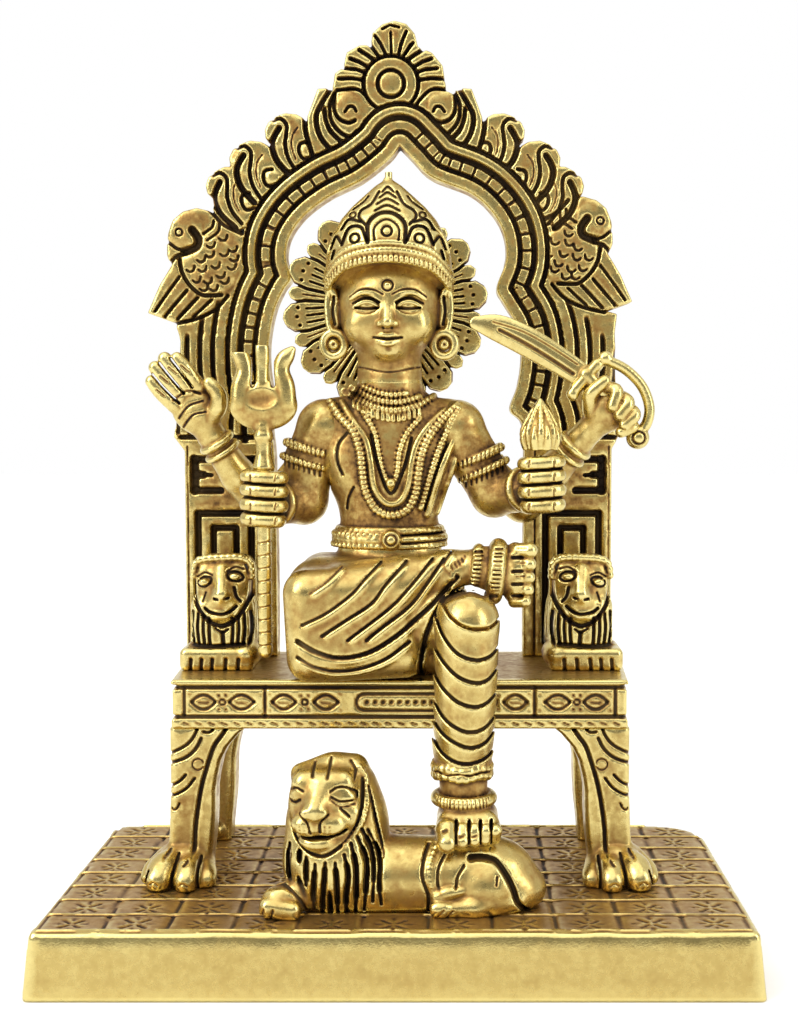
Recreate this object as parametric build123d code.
from build123d import *
import math
import os

# Brass figurine: a four-armed seated figure on a lion bench, under a carved arch, on a plinth.
# Millimetres, +Z up, +X to the viewer's right, +Y to the back.
# Origin: centre of the plinth's underside. "left" and "right" are the viewer's.

# ---- plinth ----
BASE_W, BASE_D, BASE_H = 166.0, 88.0, 15.5
BASE_TOP_W, BASE_TOP_D = 163.0, 86.0
BASE_WALL, BASE_PLATE = 3.5, 4.0
BASE_FRONT_R, BASE_BACK_LEFT_R, BASE_BACK_RIGHT_R = 1.5, 4.0, 13.0

# ---- bench ----
SEAT_Z, SEAT_BOTTOM = 65.6, 53.5
SEAT_FRONT, SEAT_BACK = -7.0, 38.0
SEAT_FRONT_HALF, SEAT_BACK_HALF = 56.0, 58.5
SEAT_PLATE, SEAT_WALL, PAD_IN = 4.0, 3.0, 46.5
LEG_OUT, LEG_IN, LEG_DEPTH = 57.0, 45.2, 9.5
LEG_FRONT_Y, LEG_REAR_Y = -1.5, 32.5
TENON_R, TENON_H = 3.0, 5.0
PAW_H = 9.0

# ---- arch ----
ARCH_X, ARCH_Y, ARCH_T = -2.0, 28.0, 8.0
ARCH_TOP = 233.5
PILLAR_OUT, PILLAR_IN, PILLAR_TOP = 56.5, 36.0, 122.0

# ---- figure ----
BODY_X, BODY_Y = -3.0, 11.0
WAIST_Z, NECK_Z, BROW_Z, CROWN_TOP = 97.0, 139.0, 171.0, 189.5
KNEE = (16.2, -15.5, 80.0)
KNEE_R = 9.3
SHIN_TOP_Z, FOOT_Z = 79.0, 30.0
HALO_X, HALO_Z, HALO_R = -4.5, 158.5, 26.5
HALO_Y, HALO_T = 21.0, 3.0
FIST_LEFT = (-33.6, 0.0, 109.5)
FIST_RIGHT = (34.6, 0.0, 113.2)
SWORD_FIST = (51.5, 6.0, 131.5)
PALM = (-52.0, 7.0, 132.0)

# ---- trident ----
SHAFT_R, SHAFT_CLEARANCE = 1.7, 0.08
SHAFT_END_Z, TRIDENT_TOP = 70.7, 147.0

# ---- screws: shank radius, head radius, head height ----
M5 = (2.5, 4.3, 3.2)
M4 = (2.0, 3.5, 2.6)
M3 = (1.5, 2.7, 2.0)
THREAD_GAP = 0.06


def vec(p):
    return Vector(*p)


def rod(p, q, r1, r2):
    """Straight round bar from p to q, tapering from r1 to r2."""
    axis = vec(q) - vec(p)
    plane = Plane(origin=p, z_dir=axis)
    low = (Align.CENTER, Align.CENTER, Align.MIN)
    if abs(r1 - r2) < 1e-6:
        return plane * Cylinder(r1, axis.length, align=low)
    return plane * Cone(r1, r2, axis.length, align=low)


def limb(points):
    """Rods through (x, y, z, r) points, with a ball at each one."""
    shape = Pos(*points[0][:3]) * Sphere(points[0][3])
    for a, b in zip(points, points[1:]):
        shape += rod(a[:3], b[:3], a[3], b[3])
        shape += Pos(*b[:3]) * Sphere(b[3])
    return shape


def block(x0, x1, y0, y1, z0, z1, r=0.0):
    """Box between limits; r rounds every edge."""
    box = Pos((x0 + x1) / 2, (y0 + y1) / 2, (z0 + z1) / 2) * Box(x1 - x0, y1 - y0, z1 - z0)
    if r:
        box = fillet(box.edges(), r)
    return box


def egg(sections):
    """Loft through horizontal ellipses given as (x, y, z, half width, half depth)."""
    rings = [Pos(x, y, z) * Ellipse(a, b) for x, y, z, a, b in sections]
    return loft(rings)


def above(z):
    return block(-120, 120, -120, 120, z, 400)


def below(z):
    return block(-120, 120, -120, 120, -200, z)


def screw(spec, x, y, head_z, length):
    """Pan-head screw pushed up from below: head under head_z, shank above it."""
    shank, head, high = spec
    shape = Pos(x, y, head_z - high / 2) * Cylinder(head, high)
    return shape + Pos(x, y, head_z + length / 2) * Cylinder(shank, length)


def screw_hole(spec, x, y, z0, z1):
    return Pos(x, y, (z0 + z1) / 2) * Cylinder(spec[0] + THREAD_GAP, z1 - z0)


# ---- fastener places: (x, y) ----
LEG_SCREWS = [(sx * 51.0, y) for sx in (-1, 1) for y in (LEG_FRONT_Y, LEG_REAR_Y)]
LION_SCREWS = [(-14.0, -24.0), (22.0, -23.0)]
ARCH_SCREWS = [(ARCH_X - 40.0, 32.0), (ARCH_X + 40.0, 32.0)]
SEAT_LION_X = {"left": -46.9, "right": 45.9}
SEAT_LION_Y = 17.0
FIGURE_BOLT = (-8.0, 9.0)


# ================= plinth =================
def base_outline(width, depth):
    sheet = Rectangle(width, depth)
    radii = {(-1, -1): BASE_FRONT_R, (1, -1): BASE_FRONT_R,
             (-1, 1): BASE_BACK_LEFT_R, (1, 1): BASE_BACK_RIGHT_R}
    for (sx, sy), r in radii.items():
        corner = [v for v in sheet.vertices() if v.X * sx > width * 0.49 and v.Y * sy > depth * 0.49]
        sheet = fillet(corner, r)
    return sheet


def base_plinth():
    slab = loft([base_outline(BASE_W, BASE_D), Pos(0, 0, BASE_H) * base_outline(BASE_TOP_W, BASE_TOP_D)])
    inner = base_outline(BASE_W - 2 * BASE_WALL - 2, BASE_D - 2 * BASE_WALL - 2)
    slab -= extrude(inner, BASE_H - BASE_PLATE)
    for x, y in LEG_SCREWS:
        slab -= screw_hole(M4, x, y, 0, BASE_H + 1)
    for x, y in LION_SCREWS:
        slab -= screw_hole(M3, x, y, 0, BASE_H + 1)
    return slab


# ================= bench =================
def seat_outline(inset):
    front, back = SEAT_FRONT_HALF - inset, SEAT_BACK_HALF - inset
    y0, y1 = SEAT_FRONT + inset, SEAT_BACK - inset
    return make_face(Polyline((-front, y0), (front, y0), (back, y1), (-back, y1), close=True))


def bench_seat():
    seat = Pos(0, 0, SEAT_BOTTOM) * extrude(seat_outline(0), SEAT_Z - SEAT_BOTTOM)
    hollow = Pos(0, 0, SEAT_BOTTOM) * extrude(seat_outline(SEAT_WALL), SEAT_Z - SEAT_PLATE - SEAT_BOTTOM)
    for sx in (-1, 1):
        for y0, y1 in ((SEAT_FRONT, 4.0), (27.5, SEAT_BACK)):
            hollow -= block(*sorted((sx * PAD_IN, sx * 70.0)), y0, y1, SEAT_BOTTOM, SEAT_Z)
    seat -= hollow
    for x, y in LEG_SCREWS:
        seat -= Pos(x, y, SEAT_BOTTOM) * Cylinder(TENON_R + THREAD_GAP, 2 * TENON_H + 1)
    for x, y in ARCH_SCREWS:
        seat -= screw_hole(M3, x, y, SEAT_BOTTOM, SEAT_Z + 1)
    for x in SEAT_LION_X.values():
        seat -= screw_hole(M3, x, SEAT_LION_Y, SEAT_BOTTOM, SEAT_Z + 1)
    seat -= screw_hole(M5, *FIGURE_BOLT, SEAT_BOTTOM, SEAT_Z + 1)
    return seat


def leg_profile():
    """Front view of a left leg: straight outside, curved bracket inside, flare over the paw."""
    edge = Polyline((-36.0, SEAT_BOTTOM), (-LEG_OUT + 1, SEAT_BOTTOM), (-LEG_OUT, 40.0), (-LEG_OUT, 27.0),
                    (-60.0, BASE_H), (-44.6, BASE_H), (-LEG_IN, 27.0), (-LEG_IN, 43.0))
    bracket = ThreePointArc((-LEG_IN, 43.0), (-42.4, 50.0), (-36.0, SEAT_BOTTOM))
    return make_face(edge + bracket)


def lion_leg(side, screw_y, paw_front):
    """Column and paw. side is -1 (left) or 1 (right)."""
    half = LEG_DEPTH / 2
    outline = Plane.XZ * leg_profile()
    column = Pos(0, screw_y + half, 0) * extrude(outline, LEG_DEPTH)
    paw = block(-63.0, -47.0, paw_front, screw_y, BASE_H, BASE_H + PAW_H, 2.0)
    toes = [rod((x, paw_front - 1.0, BASE_H + 3.0), (x, paw_front + 4.0, BASE_H + 4.5), 2.1, 2.4)
            for x in (-60.6, -56.9, -53.2, -49.5)]
    leg = (column + paw + toes) & above(BASE_H)
    leg += Pos(-51.0, screw_y, SEAT_BOTTOM + TENON_H / 2) * Cylinder(TENON_R, TENON_H)
    leg -= screw_hole(M4, -51.0, screw_y, BASE_H, BASE_H + 11.0)
    return leg if side < 0 else mirror(leg, about=Plane.YZ)


# ================= arch =================
def arch_outer():
    """Left half of the arch's outline from foot to tip; mirrored by the caller."""
    foot = Line((-PILLAR_OUT, SEAT_Z), (-PILLAR_OUT, PILLAR_TOP))
    tail = Line((-PILLAR_OUT, PILLAR_TOP), (-56.0, 150.0))
    wing = Polyline((-56.0, 150.0), (-64.3, 158.0), (-61.5, 176.0), (-58.5, 185.0))
    crest = Polyline((-58.5, 185.0), (-49.0, 193.0), (-42.0, 199.5), (-32.0, 206.5), (-23.0, 211.0), (-15.5, 219.0))
    tip = ThreePointArc((-15.5, 219.0), (-8.0, 229.0), (0, ARCH_TOP))
    return foot + tail + wing + crest + tip


def arch_inner():
    """Left half of the opening: pillar, cusp, lobe and ogee point."""
    pillar = Polyline((0, SEAT_Z - 1), (-PILLAR_IN, SEAT_Z - 1), (-PILLAR_IN, 144.0), (-29.8, 160.5))
    lobe = ThreePointArc((-29.8, 160.5), (-27.6, 176.0), (-18.5, 187.2))
    ogee = ThreePointArc((-18.5, 187.2), (-7.5, 192.3), (0, 201.0))
    return pillar + lobe + ogee


def arch_back():
    outer = make_face(arch_outer() + Polyline((0, ARCH_TOP), (0, SEAT_Z), (-PILLAR_OUT, SEAT_Z)))
    inner = make_face(arch_inner() + Line((0, 201.0), (0, SEAT_Z - 1)))
    half = outer - inner
    sheet = half + mirror(half, about=Plane.YZ)
    plate = Pos(ARCH_X, ARCH_Y + ARCH_T, 0) * extrude(Plane.XZ * sheet, ARCH_T)
    for x, y in ARCH_SCREWS:
        plate -= screw_hole(M3, x, y, SEAT_Z, SEAT_Z + 9.0)
    return plate


# ================= lions =================
def seat_lion(x):
    body = block(x - 7.5, x + 7.5, 10.0, 27.6, SEAT_Z - 2, 82.0, 1.8)
    head = block(x - 8.0, x + 8.0, 8.5, 24.0, 76.0, 94.0, 3.5)
    muzzle = rod((x, 12.0, 82.0), (x, 6.5, 81.5), 4.6, 3.4)
    paws = block(x - 8.6, x + 8.0, 6.0, 14.0, SEAT_Z, 71.0, 2.0)
    lion = (body + head + muzzle + paws) & above(SEAT_Z)
    return lion - screw_hole(M3, x, SEAT_LION_Y, SEAT_Z, SEAT_Z + 8.0)


def reclining_lion():
    trunk = block(-12.0, 33.0, -32.0, -15.5, 9.0, FOOT_Z, 6.5)
    haunch = Pos(25.5, -25.0, 20.0) * Rot(90, 0, 0) * Cylinder(9.3, 18.0)
    mane = rod((-15.5, -25.0, 10.0), (-15.5, -25.0, 39.0), 10.8, 9.0)
    skull = Pos(-15.8, -26.0, 40.8) * Sphere(9.4)
    muzzle = rod((-16.2, -30.0, 38.0), (-16.6, -36.0, 37.0), 5.2, 4.0)
    front_paw = block(-33.0, -17.0, -35.5, -27.5, 10.0, 22.5, 2.2)
    hind_paw = block(8.0, 25.0, -36.0, -28.5, 10.0, 21.0, 2.2)
    lion = (trunk + haunch + mane + skull + muzzle + front_paw + hind_paw) & above(BASE_H)
    for x, y in LION_SCREWS:
        lion -= screw_hole(M3, x, y, BASE_H, BASE_H + 8.0)
    return lion


# ================= figure =================
def lower_body():
    lap = block(-29.0, 9.0, -7.0, 22.0, SEAT_Z - 8, 93.0, 7.0)
    seat_pad = block(-20.0, 22.0, 0.0, 23.0, SEAT_Z, 86.0, 3.0)
    hips = egg([(BODY_X, BODY_Y, 82.0, 17.5, 12.0), (BODY_X, BODY_Y, 92.0, 16.5, 11.5),
                (BODY_X, BODY_Y, WAIST_Z, 14.6, 10.2)])
    thigh = limb([(9.0, 10.0, 79.0, 10.5), (*KNEE, KNEE_R)])
    shin = limb([(-14.0, -1.5, 87.5, 6.0), (22.0, -6.0, 91.0, 4.6)])
    foot = block(24.0, 33.3, -10.5, 1.5, 84.0, 98.6, 2.5)
    body = (lap + seat_pad + hips + thigh + shin + foot) & above(SEAT_Z)
    body -= block(6.6, 26.0, -26.0, SEAT_FRONT, 60.0, SHIN_TOP_Z)
    return body - screw_hole(M5, *FIGURE_BOLT, SEAT_Z, SEAT_Z + 14.0)


def hanging_leg():
    calf = limb([(16.2, -16.2, 84.0, 8.6), (16.4, -16.4, 62.0, 8.2), (16.6, -17.5, 42.0, 6.6)])
    ankle = rod((16.6, -17.5, 42.0), (16.8, -19.5, 34.0), 6.6, 6.4)
    foot = block(9.6, 24.4, -33.0, -13.0, FOOT_Z - 4, 37.5, 3.2)
    toes = [rod((x, -33.6, 32.8), (x, -26.0, 33.6), 1.7, 2.4) for x in (11.4, 14.2, 17.0, 19.8, 22.5)]
    leg = (calf + ankle + foot + toes) & above(FOOT_Z) & below(SHIN_TOP_Z)
    return leg


def torso():
    return egg([(BODY_X, BODY_Y, WAIST_Z, 14.4, 10.0), (BODY_X, BODY_Y, 104.0, 13.6, 9.4),
                (BODY_X, BODY_Y, 114.0, 14.8, 10.2), (BODY_X, BODY_Y, 124.0, 17.2, 11.6),
                (BODY_X, BODY_Y, 132.0, 17.5, 9.8), (BODY_X + 0.5, BODY_Y, 136.5, 12.5, 8.0),
                (BODY_X + 1.0, BODY_Y, NECK_Z, 7.0, 6.4)])


def head():
    x, y = BODY_X + 1.2, 10.5
    neck = rod((x, 12.0, NECK_Z), (x, 12.0, 152.0), 6.2, 6.2)
    skull = egg([(x, y - 1.5, 146.0, 5.5, 5.5), (x, y - 0.5, 150.0, 10.0, 9.5), (x, y, 157.0, 12.9, 11.8),
                 (x, y, 165.0, 13.6, 12.6), (x, y, BROW_Z, 13.2, 12.4)])
    ears = [limb([(x + s * 13.4, 13.0, 158.0, 2.2), (x + s * 14.6, 12.0, 151.0, 2.4)]) for s in (-1, 1)]
    shape = (neck + skull + ears) & above(NECK_Z)
    shape -= block(-60, 60, HALO_Y, 60, 100, 200)
    return shape - Pos(HALO_X, HALO_Y, HALO_Z) * Rot(90, 0, 0) * Cylinder(M3[0] + THREAD_GAP, 16.0)


def crown():
    x, y = BODY_X, 10.5
    band = egg([(x, y, BROW_Z, 15.6, 13.6), (x, y, 174.5, 15.4, 13.4), (x - 0.2, y, 179.0, 12.8, 11.6),
                (x - 0.6, y, 184.0, 7.6, 7.4), (x - 0.9, y, 187.0, 3.4, 3.4), (x - 0.9, y, CROWN_TOP, 1.2, 1.2)])
    return band - block(-60, 60, HALO_Y, 60, 100, 200)


def halo():
    """Flat ring of wide and narrow petals behind the head."""
    petals = Circle(HALO_R - 7.0)
    for i in range(12):
        for reach, half, turn in ((HALO_R, 3.9, 0.0), (HALO_R - 2.5, 2.2, 15.0)):
            petals += Rot(0, 0, 30.0 * i + turn) * Pos(reach - 9.0, 0) * Ellipse(9.0, half)
    disc = Pos(HALO_X, HALO_Y + HALO_T, HALO_Z) * extrude(Plane.XZ * petals, HALO_T)
    return disc - Pos(HALO_X, HALO_Y, HALO_Z) * Rot(90, 0, 0) * Cylinder(M3[0] + THREAD_GAP, 16.0)


def halo_screw():
    shank, head_r, high = M3
    y = HALO_Y + HALO_T
    shape = Pos(HALO_X, y + high / 2, HALO_Z) * Rot(90, 0, 0) * Cylinder(head_r, high)
    return shape + Pos(HALO_X, y - 5.0, HALO_Z) * Rot(90, 0, 0) * Cylinder(shank, 10.0)


def arm_front_left():
    x, y, z = FIST_LEFT
    arm = limb([(-17.5, 9.5, 130.5, 6.6), (-24.5, 10.0, 111.0, 5.6), (-31.0, 4.0, 108.5, 4.4)])
    arm += block(x - 5.2, x + 5.2, y - 6.0, y + 6.0, z - 7.4, z + 7.4, 2.2)
    return arm - Pos(x, y, z) * Cylinder(SHAFT_R + SHAFT_CLEARANCE, 60.0)


def arm_front_right():
    x, y, z = FIST_RIGHT
    arm = limb([(11.8, 9.5, 130.5, 6.6), (23.0, 10.0, 113.0, 5.6), (31.0, 4.0, 111.5, 4.4)])
    arm += block(x - 5.6, x + 5.6, y - 6.0, y + 6.0, z - 8.4, z + 8.4, 2.2)
    return arm


def open_hand():
    """Raised palm: slab, four fingers and thumb, built upright then leaned to the left."""
    hand = block(-5.8, 5.8, -2.4, 2.4, -7.0, 5.0, 1.8)
    for i, reach in enumerate((14.0, 16.0, 15.5, 13.0)):
        x = -4.3 + 2.9 * i
        hand += limb([(x, 0.0, 3.0, 1.45), (x * 1.25, -1.0, reach - 2.0, 1.35)])
    hand += limb([(4.5, -1.0, -4.0, 2.2), (9.0, -2.5, 5.5, 1.6)])
    return hand


def arm_rear_left():
    arm = limb([(-12.0, 21.0, 127.0, 4.3), (-35.0, 20.0, 104.5, 4.4), (-48.0, 9.5, 123.0, 4.0)])
    arm += Pos(*PALM) * Rot(0, -32, 0) * open_hand()
    return arm & above(WAIST_Z)


def grip_axis(along):
    """Point on the sword's grip line, measured from the fist's centre towards the pommel."""
    x, y, z = SWORD_FIST
    angle = math.radians(-41.0)
    return (x + along * math.cos(angle), y - 1.0, z + along * math.sin(angle))


def arm_rear_right():
    arm = limb([(7.5, 21.0, 127.0, 4.3), (33.0, 20.0, 107.0, 4.4), (44.8, 9.5, 122.0, 4.0),
                (49.5, 7.0, 128.5, 3.8)])
    x, y, z = SWORD_FIST
    arm += Pos(x, y, z) * Rot(0, 41, 0) * block(-5.6, 5.6, -5.0, 5.0, -5.8, 5.8, 2.0)
    return arm - rod(grip_axis(-9.0), grip_axis(9.0), 1.9, 1.9)


def sword():
    """Curved single-edged blade, round grip, knuckle bow and pommel."""
    y = SWORD_FIST[1] - 1.0
    back = ThreePointArc((47.5, 140.0), (35.0, 150.0), (18.5, 155.5))
    edge = ThreePointArc((18.5, 155.5), (31.0, 144.5), (43.0, 134.5))
    blade = make_face(back + edge + Line((43.0, 134.5), (47.5, 140.0)))
    shape = Pos(0, y + 1.1, 0) * extrude(Plane.XZ * blade, 2.2)
    shape += rod(grip_axis(-9.0), grip_axis(10.0), 1.9, 1.9)
    shape += Pos(*grip_axis(10.5)) * Sphere(3.2)
    x, _, z = SWORD_FIST
    ring = Pos(x + 1.5, y, z + 1.8) * Rot(90, 0, 0) * Torus(9.2, 1.3)
    return shape + (ring & Pos(x, y, z) * Rot(0, 41, 0) * block(-14, 14, -4, 4, 0.5, 16))


def lotus_bud():
    x, y, z = FIST_RIGHT
    top = z + 8.4
    return egg([(x, y, top, 3.4, 3.4), (x, y, top + 3.5, 4.3, 4.3), (x, y, top + 7.5, 3.4, 3.4),
                (x, y, top + 12.4, 0.6, 0.6)])


# ================= trident =================
def trident_head(z):
    """Flat heart-shaped base with three prongs, in the XZ plane."""
    disc = Pos(0, z + 6.2) * Ellipse(8.8, 6.2)
    centre = make_face(Polyline((-2.0, z + 7), (2.0, z + 7), (1.7, TRIDENT_TOP - 3), (2.0, TRIDENT_TOP - 1),
                                (-1.8, TRIDENT_TOP), (-2.0, TRIDENT_TOP - 3), close=True))
    outer = make_face(Polyline((-8.2, z + 7), (-5.6, z + 12), (-8.4, TRIDENT_TOP - 3.5), (-4.0, TRIDENT_TOP - 4.5),
                               (-3.6, z + 9), close=True))
    gaps = [Pos(s * 2.9, z + 13.0) * Ellipse(0.9, 5.0) for s in (-1, 1)]
    return disc + centre + outer + mirror(outer, about=Plane.YZ) - gaps


def trident():
    x, y, z = FIST_LEFT
    collar_z = z + 7.4
    shape = rod((x, y, SHAFT_END_Z), (x, y, 128.0), SHAFT_R, SHAFT_R)
    shape += rod((x, y, collar_z), (x, y, collar_z + 3.6), 2.9, 1.9)
    flat = Pos(x, y + 1.8, 0) * extrude(Plane.XZ * trident_head(126.0), 3.6)
    return shape + flat


# ================= assembly =================
def cut_by(shape, *others):
    for other in others:
        shape -= other
    return shape


def group(shapes):
    return Compound(children=list(shapes))


parts = {}
parts["base_plinth"] = base_plinth()
parts["bench_seat"] = bench_seat()
for side, sign in (("left", -1), ("right", 1)):
    parts[f"leg_front_{side}"] = lion_leg(sign, LEG_FRONT_Y, -15.0)
    parts[f"leg_rear_{side}"] = lion_leg(sign, LEG_REAR_Y, 21.0)
    parts[f"seat_lion_{side}"] = seat_lion(SEAT_LION_X[side])
parts["arch_back"] = arch_back()
parts["reclining_lion"] = reclining_lion()
parts["lower_body"] = lower_body()
parts["hanging_leg"] = cut_by(hanging_leg(), parts["lower_body"])
parts["torso"] = torso()
parts["head"] = cut_by(head(), parts["torso"])
parts["crown"] = crown()
parts["halo"] = halo()
parts["arm_front_left"] = cut_by(arm_front_left(), parts["torso"])
parts["arm_front_right"] = cut_by(arm_front_right(), parts["torso"])
parts["arm_rear_left"] = cut_by(arm_rear_left(), parts["torso"], parts["arm_front_left"])
parts["sword"] = sword()
parts["arm_rear_right"] = cut_by(arm_rear_right(), parts["torso"], parts["arm_front_right"], parts["sword"])
parts["lotus_bud"] = lotus_bud()
parts["trident"] = trident()
parts["base_leg_screws"] = group(screw(M4, x, y, BASE_H - BASE_PLATE, 13.5) for x, y in LEG_SCREWS)
parts["lion_screws"] = group(screw(M3, x, y, BASE_H - BASE_PLATE, 11.0) for x, y in LION_SCREWS)
parts["arch_screws"] = group(screw(M3, x, y, SEAT_Z - SEAT_PLATE, 12.0) for x, y in ARCH_SCREWS)
parts["seat_lion_screws"] = group(screw(M3, x, SEAT_LION_Y, SEAT_Z - SEAT_PLATE, 11.0)
                                  for x in SEAT_LION_X.values())
parts["figure_bolt"] = screw(M5, *FIGURE_BOLT, SEAT_Z - SEAT_PLATE, 16.0)
parts["halo_screw"] = halo_screw()

os.makedirs("parts", exist_ok=True)
for name, shape in parts.items():
    export_step(shape, f"parts/{name}.step")
